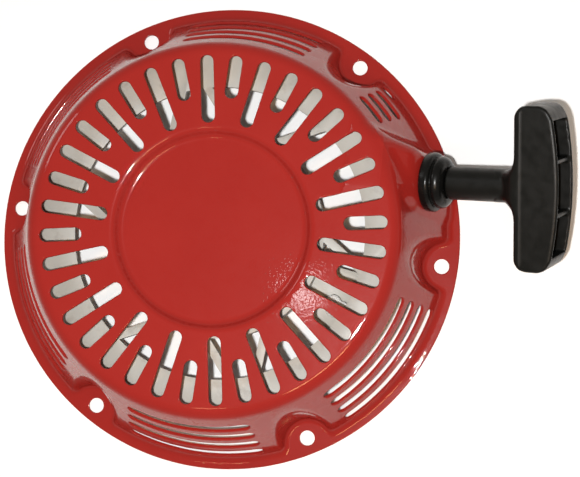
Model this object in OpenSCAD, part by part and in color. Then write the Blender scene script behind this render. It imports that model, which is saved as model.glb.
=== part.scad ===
// Recoil (pull-rope) starter for a horizontal-shaft engine.
// Millimetres. The origin is the centre of the flange's mating face, +Z points
// out through the cover's face, and +X passes through one bolt hole.

/* [Mounting flange] */
// Diameter of the bolt circle
bolt_pcd = 214; // [206:1:260]
// Number of bolt holes, one in each pocket of the wall
bolt_count = 6; // [6]
// Diameter of a bolt hole
bolt_hole_d = 7.4; // [5.5:0.1:9]
// Flange outside the bolt circle
flange_edge = 8; // [7:0.5:12]

/* [Case] */
// Height of the ring of slots above the mating face
case_h = 54; // [50:1:70]
// Thickness of the pressed sheet
sheet = 1.5; // [1.2:0.1:2]
// Radius at which the sloping wall would meet the top plane
crown_r = 86.4; // [86:0.1:92]
// Rounding between the wall and the top
shoulder_round = 7; // [4:0.5:9]
// Radius at which the top starts to dip to the centre disc
disc_edge_r = 48.2; // [44:0.1:48.4]
// Depth of the centre disc below the ring
disc_depth = 4; // [2:0.5:5]
// Radius of each bolt pocket at the flange
pocket_r = 12; // [10:0.5:13]
// Growth of the pocket's radius for each millimetre of height
pocket_taper = 0.13; // [0.05:0.01:0.2]

/* [Cooling slots] */
// Number of radial slots in the top, long and short in turn
slot_count = 36; // [24:4:36]
// Width of a radial slot
slot_w = 6.2; // [4:0.1:6.4]
// Radius of the outer end of all the radial slots
slot_out_r = 81.3; // [78:0.1:82]
// Radius of the inner end of a long slot
slot_long_r = 49.5; // [49:0.1:56]
// Radius of the inner end of a short slot
slot_short_r = 61.2; // [56:0.1:70]
// Width of a wall vent, measured along the slope
vent_w = 7; // [3:0.5:8]
// Height of the lowest row of wall vents
vent_z = 7; // [6:0.5:9]
// Height between rows of wall vents
vent_pitch = 10.6; // [8:0.1:11]
// Angle that a full vent spans
vent_angle = 37; // [20:1:38]

/* [Rope] */
// Diameter of the rope
rope_d = 5.5; // [4.5:0.1:6.8]
// Height of the lane that the rope leaves by
rope_z = 26.9; // [26:0.1:29]
// How far above that lane the pull line starts, at the outlet's face
outlet_rise = 2; // [1.5:0.1:4]
// Distance of the pull line from the case's centre
pull_offset = 37.5; // [34:0.1:40]
// Angle of the pull line above the flange plane
pull_angle = 22; // [10:1:25]
// Turn of the pull line away from the X axis, towards +Y
pull_yaw = 2.2; // [0:0.1:4]
// How far the rope outlet stands out from the wall
nose_proud = 5.8; // [4:0.1:8]

/* [Reel] */
// Radius of the bottom of the rope groove
groove_r = 76; // [74:0.5:77]
// Radius of the opening in the reel's top face
lip_r = 70; // [68:0.5:72]
// Wall and flange thickness of the reel
reel_wall = 2; // [1.5:0.1:3]
// Radius of the hub disc
hub_r = 50.5; // [49:0.5:54]
// Inside radius of the spring housing
spring_cup_r = 46; // [40:0.5:46.5]
// Height of the spring housing above the hub disc
spring_cup_h = 13.5; // [11:0.5:13.5]
// Number of leaning spokes
spoke_count = 6; // [3:1:8]

/* [Centre post] */
// Diameter of the post where the reel turns on it
post_d = 14; // [12:0.5:18]
// Radial running clearance between the post and what turns on it
running_gap = 0.06; // [0.03:0.01:0.09]

/* [Ratchet] */
// Radius of the circle that the pawl pivots lie on
pawl_pivot_r = 24; // [22:0.5:30]
// Length of a pawl from its pivot to its tip
pawl_len = 17; // [14:0.5:18]
// Swing of a pawl from folded to fully out
pawl_swing = 32; // [25:1:35]
// Thickness of a pawl
pawl_t = 4.6; // [3:0.1:4.6]

/* [Grip] */
// Length of the cross-bar
grip_len = 75.4; // [70:0.1:90]
// Height of the cross-bar
grip_h = 24.4; // [22:0.1:28]
// Depth of the cross-bar at its middle
grip_depth = 20.5; // [20:0.5:26]
// Length of the stem from the rope outlet to the cross-bar
stem_len = 35.2; // [30:0.1:44]
// Diameter of the stem
stem_d = 15.6; // [14:0.1:18]
// Turn of the cross-bar about the pull line
grip_twist = 15.5; // [0:0.5:30]

/* [Hidden] */
$fn = 96;

part_gap = 0.3;        // gap between neighbours that move past each other

// Case shell
bolt_r = bolt_pcd / 2;
flange_r = bolt_r + flange_edge;
foot_r = bolt_r + 2.4;
pocket_axis_r = bolt_r + 2.5;
wall_slope = (foot_r - crown_r) / (case_h - sheet);
wall_tilt = atan(wall_slope);
dip_round = 3.5;
dip_turn = acos(1 - disc_depth / (2 * dip_round));
dip_run = 2 * dip_round * sin(dip_turn);
disc_under_z = case_h - disc_depth - sheet;
function wall_r(z) = foot_r - (z - sheet) * wall_slope;
function arc(cx, cy, r, from, to, steps) =
    [for (i = [0:steps]) let (a = from + (to - from) * i / steps) [cx + r * cos(a), cy + r * sin(a)]];

// Pull line: it starts at the outlet's flat face and runs out and up
pull_z = rope_z + outlet_rise;
bush_barrel_r = 9;
bush_flange_r = 14;
flange_drop = bush_flange_r * cos(pull_angle);
function wall_x(z) = sqrt(pow(wall_r(z), 2) - pow(pull_offset, 2));
pull_x = max(wall_x(pull_z) + nose_proud,
    wall_x(pull_z - flange_drop) - bush_flange_r * sin(pull_angle) + 2);
bush_in = -8.5;        // inner end of the bush along the pull line
bush_out = 10.4;       // outer end of the bush along the pull line
bush_throat_r = rope_d / 2 + 0.65;
nose_half_w = 14;

// Rope on the reel
lane_gap = 0.35;
lane_pitch = rope_d + 0.9;
layer_pitch = rope_d + part_gap;
lane_low_z = rope_z - lane_pitch;
layer1_r = groove_r + rope_d / 2 + 0.15;
layer2_r = layer1_r + layer_pitch;
run_end = bush_in - 3.5;   // where the run meets the pull line
pull_dir = [cos(pull_angle) * cos(pull_yaw), cos(pull_angle) * sin(pull_yaw), sin(pull_angle)];
run_mouth = [pull_x, pull_offset, pull_z] + run_end * pull_dir;
run_az = atan2(run_mouth[1], run_mouth[0]) + acos(layer2_r / norm([run_mouth[0], run_mouth[1]]));
run_wrap = 95;             // angle of reel that the run still touches
knot_az = 336;
reel_knot_r = 0.8 * rope_d - 0.2;
shelf_t = 2.2;
skirt_low = rope_z - reel_knot_r - 0.1 - shelf_t;   // the knot lies on the shelf

// Reel heights
reel_top = rope_z + rope_d / 2 + lane_gap + reel_wall;
groove_low_z = lane_low_z - rope_d / 2 - lane_gap;
reel_low = groove_low_z - reel_wall;
reel_r = layer2_r + rope_d / 2 + 2.5;
rim_in_r = groove_r - reel_wall;
hub_disc_t = 4;
spoke_h = 5;
spoke_w = 4;
spoke_lean = 31;
spoke_mid_r = (hub_r + rim_in_r) / 2;
cup_wall = 2;

// Post and what turns on it
post_r = post_d / 2;
arbor_r = post_r + 5;
stub_r = post_r - 2;
screw_r = 3;
post_flange_r = arbor_r + 7;
post_flange_t = 2.5;
bush_wall = 2.5;
boss_r = min(post_r + 9, pawl_pivot_r - 8);   // clear of the pawl springs
shoulder_z = 12;
reel_bush_low = shoulder_z + 0.1;
arbor_low = reel_top + 0.6;

// Ratchet heights, from the reel towards the engine
pawl_top = shoulder_z + 1.8;
pawl_low = pawl_top - pawl_t;
guide_top = pawl_low - 0.8;
guide_t = 3;
guide_low = guide_top - guide_t;
guide_r = pawl_pivot_r + 11;
pin_r = 3;
peg_r = 2;
peg_arm = 9;
pawl_eye_r = 5.4;
pawl_tip_r = 3;
pawl_boss_r = pin_r + 0.9;
pawl_boss_low = pawl_top + 0.5;
spring_wire_r = 0.4;
washer_t = 1;
screw_flange_t = 1;
screw_head_t = 3;

// Recoil spring
spring_turns = 9;
spring_steps = 20;     // points in each turn
spring_t = 0.9;
spring_low = reel_top + part_gap;
spring_high = reel_top + spring_cup_h - 1;
spring_in_r = arbor_r + 1.2;
spring_out_r = spring_cup_r - 1.4;
hook_w = 3;            // width of the slots that the spring's ends sit in

// Grip, measured along the pull line from the outlet face
stem_from = bush_out + part_gap;
bar_from = stem_from + stem_len;
bar_apex = bar_from + grip_depth;
bar_bulge_r = 170;
bar_wall = 2.4;
bar_floor = bar_from + 3.5;
bar_round = 6;
stem_round = 6.5;
cell_end = 31;         // half-length of the hollow in the cross-bar
rib_y = 12.3;
rib_t = 2;
stem_bore_r = rope_d / 2 + part_gap;
grip_washer_t = 1.5;
knot_r = rope_d;

// Puts its children on the pull line, whose direction becomes their X axis
module on_pull_line() {
    translate([pull_x, pull_offset, pull_z])
        rotate([0, -pull_angle, pull_yaw])
            children();
}

// Turns a profile drawn as [radius, distance] about the pull line
module turned_on_pull_line() {
    on_pull_line()
        rotate([0, 90, 0])
            rotate_extrude()
                children();
}

module slot_outline(r_in, r_out, width) {
    translate([r_in + width / 2, -width / 2])
        square([r_out - r_in - width, width]);
    for (r = [r_in + width / 2, r_out - width / 2])
        translate([r, 0])
            circle(d = width);
}

module tube(r_out, r_in, z_low, z_high) {
    difference() {
        translate([0, 0, z_low])
            cylinder(r = r_out, h = z_high - z_low);
        translate([0, 0, z_low - 1])
            cylinder(r = r_in, h = z_high - z_low + 2);
    }
}

// ---- Case ----

// Solid dome whose skin lies `inset` inside the outer surface
module dome(inset, z_low) {
    tangent = shoulder_round * tan((90 - wall_tilt) / 2);
    disc_z = case_h - disc_depth;
    rotate_extrude()
        polygon(concat(
            [[0, z_low], [wall_r(z_low) - inset / cos(wall_tilt), z_low]],
            arc(crown_r - tangent, case_h - shoulder_round, shoulder_round - inset, wall_tilt, 90, 8),
            arc(disc_edge_r, case_h - dip_round, dip_round - inset, 90, 90 + dip_turn - 1, 5),
            arc(disc_edge_r - dip_run, disc_z + dip_round, dip_round + inset, dip_turn - 90, -90, 5),
            [[0, disc_z - inset]]));
}

// Tapered pockets that give room for the bolt heads
module bolt_pockets(grow, z_low) {
    base_r = pocket_r + grow;
    for (i = [0:bolt_count - 1])
        rotate([0, 0, i * 360 / bolt_count])
            translate([pocket_axis_r, 0, z_low])
                cylinder(r1 = base_r + pocket_taper * (z_low - sheet),
                    r2 = base_r + pocket_taper * (case_h - sheet), h = case_h - z_low);
}

// Hump that carries the rope outlet: a side profile crossed with a plan outline
module nose(inset, z_low) {
    face_run = (pull_z - z_low) * tan(pull_angle);
    ramp_z = pull_z + 13;
    ramp_run = -13 * tan(pull_angle);
    translate([pull_x, pull_offset, 0])
        rotate([0, 0, pull_yaw])
            intersection() {
                translate([0, 2 * nose_half_w, 0])
                    rotate([90, 0, 0])
                        linear_extrude(height = 4 * nose_half_w)
                            offset(delta = -inset)
                                polygon([[-50, z_low - 3], [face_run + 3 * tan(pull_angle), z_low - 3],
                                    [ramp_run, ramp_z], [ramp_run - 17, case_h - 1], [-50, case_h - 1]]);
                translate([0, 0, z_low])
                    linear_extrude(height = case_h)
                        offset(delta = -inset)
                            polygon([[-50, -nose_half_w], [face_run + 5, -nose_half_w],
                                [face_run + 5, nose_half_w], [-3, nose_half_w],
                                [-26, nose_half_w + 7], [-50, nose_half_w + 7]]);
            }
}

module wall_vent(row, az_from, az_span) {
    z = vent_z + row * vent_pitch;
    reach = 5;
    half = vent_w / 2;
    normal = [cos(wall_tilt), sin(wall_tilt)];
    along = [-sin(wall_tilt), cos(wall_tilt)];
    middle = [wall_r(z), z];
    rotate([0, 0, az_from])
        rotate_extrude(angle = az_span)
            polygon([middle - reach * normal - half * along, middle + reach * normal - half * along,
                middle + reach * normal + half * along, middle - reach * normal + half * along]);
}

module case_openings() {
    pitch = 360 / slot_count;
    for (i = [0:slot_count - 1])
        rotate([0, 0, i * pitch])
            translate([0, 0, case_h - disc_depth])
                linear_extrude(height = disc_depth + 1)
                    slot_outline(i % 2 == 0 ? slot_long_r : slot_short_r, slot_out_r, slot_w);
    for (window = [1:bolt_count - 1])
        for (row = [0:3])
            wall_vent(row, (window + 0.5) * 360 / bolt_count - vent_angle / 2, vent_angle);
    for (row = [1:3])
        wall_vent(row, 41, 10);
    wall_vent(0, 47, 4.5);
    for (i = [0:bolt_count - 1])
        rotate([0, 0, i * 360 / bolt_count])
            translate([bolt_r, 0, -1])
                cylinder(d = bolt_hole_d, h = sheet + 2);
    on_pull_line()
        translate([-12, 0, 0])
            rotate([0, 90, 0])
                cylinder(r = bush_barrel_r, h = 20);
}

module starter_case() {
    color([0.69, 0.16, 0.14])
        difference() {
            union() {
                difference() {
                    union() {
                        dome(0, 0);
                        nose(0, 0);
                    }
                    bolt_pockets(0, sheet);
                }
                cylinder(r = flange_r, h = sheet);
            }
            difference() {
                union() {
                    dome(sheet, -1);
                    nose(sheet, -1);
                }
                bolt_pockets(sheet, -2);
            }
            case_openings();
        }
}

module centre_post() {
    color("lightsteelblue")
        difference() {
            union() {
                translate([0, 0, guide_low - 0.1])
                    cylinder(r = stub_r, h = shoulder_z - guide_low + 0.1);
                translate([0, 0, shoulder_z])
                    cylinder(r = post_r, h = arbor_low - shoulder_z);
                translate([0, 0, arbor_low])
                    cylinder(r = arbor_r, h = disc_under_z - arbor_low);
                translate([0, 0, disc_under_z - post_flange_t])
                    cylinder(r = post_flange_r, h = post_flange_t);
            }
            translate([0, 0, guide_low - 1])
                cylinder(r = screw_r, h = 14);
            translate([arbor_r - 4, -hook_w / 2, arbor_low - 1])
                cube([8, hook_w, spring_high - arbor_low + 2]);
        }
}

module rope_bush() {
    color([0.14, 0.14, 0.14])
        turned_on_pull_line()
            polygon([[bush_throat_r + 3, bush_in], [bush_barrel_r - 1, bush_in],
                [bush_barrel_r, bush_in + 1], [bush_barrel_r, 0], [bush_flange_r, 0],
                [bush_flange_r, 3.8], [bush_flange_r - 1, 4.8], [bush_flange_r - 2.2, 4.8],
                [bush_flange_r - 2.2, 5.5], [bush_flange_r - 1.7, 6], [bush_flange_r - 1.7, 7.4],
                [bush_flange_r - 2.4, 8.9], [bush_flange_r - 3.7, 9.9], [bush_flange_r - 5.4, bush_out],
                [bush_throat_r + 2, bush_out], [bush_throat_r + 0.8, bush_out - 0.8],
                [bush_throat_r, bush_out - 3], [bush_throat_r, bush_in + 5],
                [bush_throat_r + 1, bush_in + 2]]);
}

module bush_retainer() {
    color("silver")
        turned_on_pull_line()
            polygon([[bush_barrel_r, -sheet - 1.2], [bush_barrel_r + 1.2, -sheet - 0.9],
                [bush_barrel_r + 3.5, -sheet - 0.9], [bush_barrel_r + 3.5, -sheet],
                [bush_barrel_r + 0.8, -sheet], [bush_barrel_r, -sheet - 0.3]]);
}

// ---- Reel ----

// A bar from the hub to the rim that leans as it goes out
module spoke(az, lean, width) {
    reach = (rim_in_r - hub_r) / cos(lean) + 3;
    rotate([0, 0, az])
        translate([spoke_mid_r, 0, reel_top - spoke_h])
            rotate([0, 0, lean])
                translate([-reach / 2, -width / 2, 0])
                    cube([reach, width, spoke_h]);
}

module reel() {
    brace_az = [99, 279];
    shelf_from = 326;
    shelf_span = 26;
    color([0.85, 0.83, 0.78])
        difference() {
            union() {
                // rim with its rope groove
                rotate_extrude()
                    polygon([[rim_in_r, reel_low], [reel_r, reel_low],
                        [reel_r, reel_low + reel_wall], [groove_r, groove_low_z],
                        [groove_r, reel_top - reel_wall], [reel_r, reel_top - reel_wall],
                        [reel_r, reel_top], [lip_r, reel_top], [lip_r, reel_top - reel_wall],
                        [rim_in_r, reel_top - reel_wall]]);
                intersection() {
                    union() {
                        for (i = [0:spoke_count - 1])
                            spoke(i * 360 / spoke_count - 3, -spoke_lean, spoke_w);
                        for (az = brace_az)
                            spoke(az, spoke_lean, spoke_w);
                    }
                    tube(rim_in_r + 1, hub_r - 1, reel_low, reel_top);
                }
                // hub disc, its skirt, and the spring housing above it
                translate([0, 0, reel_top - hub_disc_t])
                    cylinder(r = hub_r, h = hub_disc_t);
                tube(hub_r, hub_r - cup_wall, skirt_low, reel_top - 1);
                tube(spring_cup_r + cup_wall, spring_cup_r, reel_top - 1, reel_top + spring_cup_h);
                // shelf under the rope's knot
                rotate([0, 0, shelf_from])
                    rotate_extrude(angle = shelf_span)
                        translate([hub_r - 1, skirt_low])
                            square([rim_in_r - hub_r + 2, shelf_t]);
                // boss on the post, ribs and pawl bosses
                translate([0, 0, shoulder_z + part_gap])
                    cylinder(r = boss_r, h = reel_top - shoulder_z - part_gap - 1);
                for (i = [0:5])
                    rotate([0, 0, 30 + i * 60])
                        translate([boss_r - 1, -1, reel_top - 9])
                            cube([hub_r - boss_r, 2, 6]);
                for (side = [0, 180])
                    rotate([0, 0, side])
                        translate([pawl_pivot_r, 0, pawl_boss_low])
                            cylinder(r = pawl_boss_r, h = reel_top - pawl_boss_low - 1);
            }
            translate([0, 0, shoulder_z - 1])
                cylinder(r = post_r + bush_wall, h = reel_top - shoulder_z + 3);
            for (side = [0, 180])
                rotate([0, 0, side])
                    translate([pawl_pivot_r, 0, pawl_boss_low - 1])
                        cylinder(r = pin_r, h = 12.7);
            // slot that holds the spring's outer end
            rotate([0, 0, spring_turns * 360])
                translate([spring_cup_r - 2, -hook_w / 2, reel_top + part_gap])
                    cube([6, hook_w, spring_cup_h + 1]);
            // hole that the rope passes through to its knot
            rotate([0, 0, knot_az])
                translate([rim_in_r - 2, 0, rope_z])
                    rotate([0, 90, 0])
                        cylinder(r = rope_d / 2 + 0.2, h = 6);
        }
}

module reel_bush() {
    color("goldenrod")
        tube(post_r + bush_wall, post_r + running_gap, reel_bush_low, reel_top);
}

// Flat spiral strip; its ends are bent into the post and the housing wall
module recoil_spring() {
    last = spring_turns * spring_steps;
    function spiral_r(i) = spring_in_r + (spring_out_r - spring_in_r) * i / last;
    function spiral(side) = [for (i = [0:last]) let (a = 360 * i / spring_steps, r = spiral_r(i) + side)
        [r * cos(a), r * sin(a)]];
    inside = spiral(-spring_t / 2);
    outside = spiral(spring_t / 2);
    outer_tab = [[spring_cup_r + cup_wall + 1, spring_t], [spring_cup_r + cup_wall + 1, 0]];
    inner_tab = [[arbor_r - 2, 0], [arbor_r - 2, spring_t], [spring_in_r - 0.4, spring_t]];
    color("dimgray")
        translate([0, 0, spring_low])
            linear_extrude(height = spring_high - spring_low)
                polygon(concat([for (i = [last:-1:0]) outside[i]], inner_tab,
                    [for (i = [1:last - 1]) inside[i]], [[spring_out_r - 0.4, spring_t]], outer_tab));
}

module rope_ring(r, z) {
    translate([0, 0, z])
        rotate_extrude()
            translate([r, 0])
                circle(d = rope_d, $fn = 24);
}

module rope_wound() {
    color([0.92, 0.9, 0.86]) {
        rope_ring(layer1_r, rope_z);
        rope_ring(layer1_r, lane_low_z);
        rope_ring(layer2_r, lane_low_z);
    }
}

module reel_knot() {
    tail_to = groove_r;
    under_lip = reel_top - reel_wall - rope_z;
    knot_mid = lip_r - sqrt(pow(reel_knot_r, 2) - pow(under_lip, 2)) - 0.2;
    color([0.92, 0.9, 0.86])
        rotate([0, 0, knot_az])
            translate([0, 0, rope_z]) {
                translate([knot_mid, 0, 0])
                    sphere(r = reel_knot_r);
                translate([knot_mid, 0, 0])
                    rotate([0, 90, 0])
                        cylinder(d = rope_d, h = tail_to - knot_mid);
            }
}

// A tube swept along points; rings stay upright, so the path never runs straight up
module swept_tube(path, radius, sides) {
    last = len(path) - 1;
    rings = [for (i = [0:last])
        let (ahead = path[min(i + 1, last)] - path[max(i - 1, 0)], side = cross(ahead, [0, 0, 1]),
            across = side / norm(side), up = cross(across, ahead) / norm(ahead))
        for (k = [0:sides - 1])
            path[i] + radius * (cos(360 * k / sides) * across + sin(360 * k / sides) * up)];
    walls = [for (i = [0:last - 1], k = [0:sides - 1])
        let (a = i * sides + k, b = i * sides + (k + 1) % sides)
        each [[a, b, b + sides], [a, b + sides, a + sides]]];
    near_cap = [for (k = [sides - 1:-1:0]) k];
    far_cap = [for (k = [0:sides - 1]) last * sides + k];
    polyhedron(points = rings, faces = concat([near_cap, far_cap], walls));
}

// The outgoing rope from the reel to the outlet
module rope_run() {
    wrap_steps = 19;
    start = [layer2_r * cos(run_az), layer2_r * sin(run_az), rope_z];
    wrap = [for (i = [0:wrap_steps]) let (a = run_az + run_wrap * (1 - i / wrap_steps))
        [layer2_r * cos(a), layer2_r * sin(a), rope_z]];
    straight = [for (t = [0.2:0.2:0.8]) start + t * (run_mouth - start)];
    turn_in = run_mouth + 2.3 * pull_dir;
    color([0.92, 0.9, 0.86])
        swept_tube(concat(wrap, straight, [run_mouth, turn_in]), rope_d / 2, 12);
}

// ---- Handle ----

module rope_pull() {
    color([0.92, 0.9, 0.86])
        turned_on_pull_line()
            translate([0, run_end + rope_d / 2 + 0.15])
                square([rope_d / 2, bar_floor + grip_washer_t - run_end - rope_d / 2 - 0.15]);
}

module bar_outline() {
    offset(r = bar_round)
        offset(delta = -bar_round)
            intersection() {
                translate([bar_from, -grip_len / 2])
                    square([grip_depth + 2, grip_len]);
                translate([bar_apex - bar_bulge_r, 0])
                    circle(r = bar_bulge_r, $fn = 180);
            }
}

module grip() {
    cell_h = grip_h - 2 * bar_wall;
    rib_top = bar_apex - 5;
    color([0.13, 0.13, 0.13])
        on_pull_line()
            rotate([grip_twist, 0, 0])
                difference() {
                    union() {
                        translate([0, 0, -grip_h / 2])
                            linear_extrude(height = grip_h)
                                bar_outline();
                        intersection() {
                            rotate([0, 90, 0])
                                rotate_extrude()
                                    polygon(concat([[0, stem_from], [stem_d / 2 - 1, stem_from],
                                        [stem_d / 2, stem_from + 1]],
                                        arc(stem_d / 2 + stem_round, bar_from - stem_round, stem_round,
                                            180, 90, 6),
                                        [[stem_d / 2 + stem_round, bar_from + 1], [0, bar_from + 1]]));
                            translate([0, -grip_len / 2, -grip_h / 2])
                                cube([bar_apex, grip_len, grip_h]);
                        }
                    }
                    // three cells open to the outside, with a rib between each two
                    for (cell = [[-cell_end, -rib_y - rib_t / 2], [-rib_y + rib_t / 2, rib_y - rib_t / 2],
                            [rib_y + rib_t / 2, cell_end]])
                        translate([bar_floor, cell[0], -cell_h / 2])
                            cube([grip_depth, cell[1] - cell[0], cell_h]);
                    translate([rib_top, -cell_end, -cell_h / 2])
                        cube([grip_depth, 2 * cell_end, cell_h]);
                    rotate([0, 90, 0])
                        cylinder(r = stem_bore_r, h = bar_apex);
                }
}

module grip_washer() {
    color("silver")
        turned_on_pull_line()
            translate([stem_bore_r, bar_floor])
                square([3.6, grip_washer_t]);
}

module grip_knot() {
    color([0.92, 0.9, 0.86])
        on_pull_line()
            translate([bar_floor + grip_washer_t + knot_r, 0, 0])
                sphere(r = knot_r);
}

// ---- Ratchet ----

module pawl_pins() {
    color("silver")
        for (side = [0, 180])
            rotate([0, 0, side])
                translate([pawl_pivot_r, 0, pawl_low - 0.5])
                    cylinder(r = pin_r, h = pawl_boss_low + 11.7 - pawl_low + 0.5);
}

// A pawl at +X with its tip trailing towards -Y, and a peg into the guide
module pawl(side) {
    color([0.45, 0.45, 0.47])
        rotate([0, 0, side])
            translate([pawl_pivot_r, 0, 0])
                difference() {
                    union() {
                        translate([0, 0, pawl_low])
                            linear_extrude(height = pawl_t)
                                hull() {
                                    circle(r = pawl_eye_r, $fn = 48);
                                    translate([1.5, -pawl_len])
                                        circle(r = pawl_tip_r, $fn = 24);
                                    translate([-1.2, -pawl_len - 1])
                                        square([2, 2]);
                                }
                        translate([0, -peg_arm, guide_low + 0.4])
                            cylinder(r = peg_r, h = pawl_low - guide_low);
                    }
                    translate([0, 0, pawl_low - 1])
                        cylinder(r = pin_r + running_gap, h = pawl_t + 2);
                }
}

module pawl_a() {
    pawl(0);
}

module pawl_b() {
    pawl(180);
}

// Return spring: two coils round the pawl's boss and two legs
module pawl_spring(side) {
    coil_r = pawl_boss_r + part_gap + spring_wire_r;
    coil_z = pawl_boss_low + 0.6;
    color("gainsboro")
        rotate([0, 0, side])
            translate([pawl_pivot_r, 0, coil_z])
                for (turn = [0, 1])
                    translate([0, 0, turn * (spring_wire_r * 2 + 0.1)]) {
                        rotate_extrude()
                            translate([coil_r, 0])
                                circle(r = spring_wire_r, $fn = 24);
                        rotate([0, 0, -80 - turn * 60])
                            translate([coil_r, 0, 0])
                                rotate([0, 90, 0])
                                    cylinder(r = spring_wire_r * 0.9, h = 8, $fn = 24);
                    }
}

module pawl_spring_a() {
    pawl_spring(0);
}

module pawl_spring_b() {
    pawl_spring(180);
}

// As the guide lags the reel, each peg runs round an arc of the pivot's radius
module guide_slot() {
    half_w = peg_r + part_gap;
    path_r = pawl_pivot_r;
    end = [path_r * cos(pawl_swing), -path_r * sin(pawl_swing)];
    translate([0, -peg_arm, guide_low - 1])
        linear_extrude(height = guide_t + 2)
            polygon(concat(arc(0, 0, path_r + half_w, 0, -pawl_swing, 12),
                arc(end[0], end[1], half_w, -pawl_swing - 15, -pawl_swing - 165, 10),
                arc(0, 0, path_r - half_w, -pawl_swing, 0, 12),
                arc(path_r, 0, half_w, 165, 15, 10)));
}

module ratchet_guide() {
    color([0.2, 0.2, 0.22])
        difference() {
            tube(guide_r, stub_r + running_gap, guide_low, guide_top);
            for (side = [0, 180])
                rotate([0, 0, side])
                    guide_slot();
        }
}

module friction_spring() {
    wire_r = 0.55;
    color("silver")
        for (z = [guide_top + 0.15 + wire_r, shoulder_z - washer_t - 0.15 - wire_r])
            translate([0, 0, z])
                rotate_extrude()
                    translate([stub_r + 3.5, 0])
                        circle(r = wire_r, $fn = 24);
}

module thrust_washer() {
    color("silver")
        tube(post_r + 4, stub_r + running_gap, shoulder_z - washer_t, shoulder_z);
}

module set_screw() {
    head_top = guide_low - 0.2 - screw_flange_t;
    color("silver") {
        translate([0, 0, head_top - screw_head_t])
            cylinder(d = 11.55, h = screw_head_t, $fn = 6);
        translate([0, 0, head_top])
            cylinder(r = stub_r + 4, h = screw_flange_t);
        translate([0, 0, head_top + screw_flange_t])
            cylinder(r = screw_r - 0.05, h = 11);
    }
}

starter_case();
centre_post();
rope_bush();
bush_retainer();
reel();
reel_bush();
recoil_spring();
rope_wound();
reel_knot();
rope_run();
rope_pull();
grip();
grip_washer();
grip_knot();
pawl_pins();
pawl_a();
pawl_b();
pawl_spring_a();
pawl_spring_b();
ratchet_guide();
friction_spring();
thrust_washer();
set_screw();
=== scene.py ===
import math

import bmesh
import bpy
import numpy as np
from mathutils import Matrix, Vector
from mathutils.geometry import delaunay_2d_cdt
from mathutils.kdtree import KDTree


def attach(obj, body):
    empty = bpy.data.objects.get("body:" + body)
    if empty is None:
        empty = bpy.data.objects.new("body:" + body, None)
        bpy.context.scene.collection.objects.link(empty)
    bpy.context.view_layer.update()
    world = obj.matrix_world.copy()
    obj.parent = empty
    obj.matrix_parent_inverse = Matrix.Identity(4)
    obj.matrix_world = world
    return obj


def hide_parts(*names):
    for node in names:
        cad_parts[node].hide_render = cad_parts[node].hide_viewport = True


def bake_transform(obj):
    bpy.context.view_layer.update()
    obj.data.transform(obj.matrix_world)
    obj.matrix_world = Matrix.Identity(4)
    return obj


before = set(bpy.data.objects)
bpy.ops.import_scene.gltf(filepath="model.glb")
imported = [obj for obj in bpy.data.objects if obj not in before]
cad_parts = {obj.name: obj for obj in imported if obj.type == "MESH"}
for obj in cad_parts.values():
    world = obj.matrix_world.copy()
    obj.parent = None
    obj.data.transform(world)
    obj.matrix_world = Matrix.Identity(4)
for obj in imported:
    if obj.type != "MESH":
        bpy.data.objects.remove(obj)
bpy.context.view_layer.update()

MM = 0.001

# ---- Sizes, in millimetres, as the CAD part has them unless a comment says otherwise ----
CASE_H = 54.0
SHEET = 1.5
BOLT_R = 107.0
BOLT_COUNT = 6
BOLT_HOLE_R = 3.7
FLANGE_R = 115.0
FOOT_R = BOLT_R + 2.4
CROWN_R = 86.4
SHOULDER = 7.0
DISC_EDGE_R = 48.2
DISC_DEPTH = 4.0
DIP_ROUND = 3.5
POCKET_AXIS_R = BOLT_R + 2.5
POCKET_R = 12.0
POCKET_TAPER = 0.13
WALL_SLOPE = (FOOT_R - CROWN_R) / (CASE_H - SHEET)
WALL_TILT = math.atan(WALL_SLOPE)
SLOT_COUNT = 36
SLOT_W = 6.2
SLOT_OUT_R = 81.3
SLOT_IN_R = (49.5, 61.2)
VENT_W = 7.0
VENT_Z = 7.0
VENT_PITCH = 10.6
VENT_ANGLE = 37.0
VENT_ROWS = 4
# The short vents beside the rope outlet: middle and span in degrees, and row.
SHORT_VENTS = ((49.25, 4.5, 0), (46.0, 10.0, 1), (46.0, 10.0, 2), (46.0, 10.0, 3))
ROPE_R = 2.75
ROPE_Z = 26.9            # height of the lane that the rope leaves by
LANE_LOW_Z = 20.5
LAYER_R = (78.9, 84.7)   # centre lines of the rope's two layers on the reel
PULL_ANGLE = math.radians(22)
PULL_YAW = math.radians(2.2)
PULL_OFFSET = 37.5
NOSE_PROUD = 5.8
NOSE_HALF = 14.0
NOSE_FACE = 13.0         # height of the nose's flat face over the pull line
NOSE_UNDER = 1.0         # how far its top lies under the cover's face
NOSE_RAMP = 17.0         # how far back its face leans from there to the top
NOSE_DRAFT = 0.1
NOSE_FLARE = 0.304       # how fast it widens on the +Y side, from NOSE_FLARE_AT back
NOSE_FLARE_AT = -3.0
NOSE_ROOT_X = 60.0
PULL_Z = ROPE_Z + 2
PULL_WALL_R = FOOT_R - (PULL_Z - SHEET) * WALL_SLOPE
PULL_X = math.sqrt(PULL_WALL_R ** 2 - PULL_OFFSET ** 2) + NOSE_PROUD
PULL_START = np.array([PULL_X, PULL_OFFSET, PULL_Z])
LEVEL = np.array([math.cos(PULL_YAW), math.sin(PULL_YAW), 0])
SIDE = np.array([-math.sin(PULL_YAW), math.cos(PULL_YAW), 0])
PULL_DIR = math.cos(PULL_ANGLE) * LEVEL + math.sin(PULL_ANGLE) * np.array([0, 0, 1])
PULL_UP = np.cross(PULL_DIR, SIDE)
BUSH_IN, BUSH_OUT = -8.5, 10.4
BUSH_R, BUSH_FLANGE_R, THROAT_R = 9.0, 14.0, 3.4
GRIP_TWIST = math.radians(15.5)
STEM_FROM, STEM_R, STEM_BORE = 10.7, 7.8, 3.05
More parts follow.
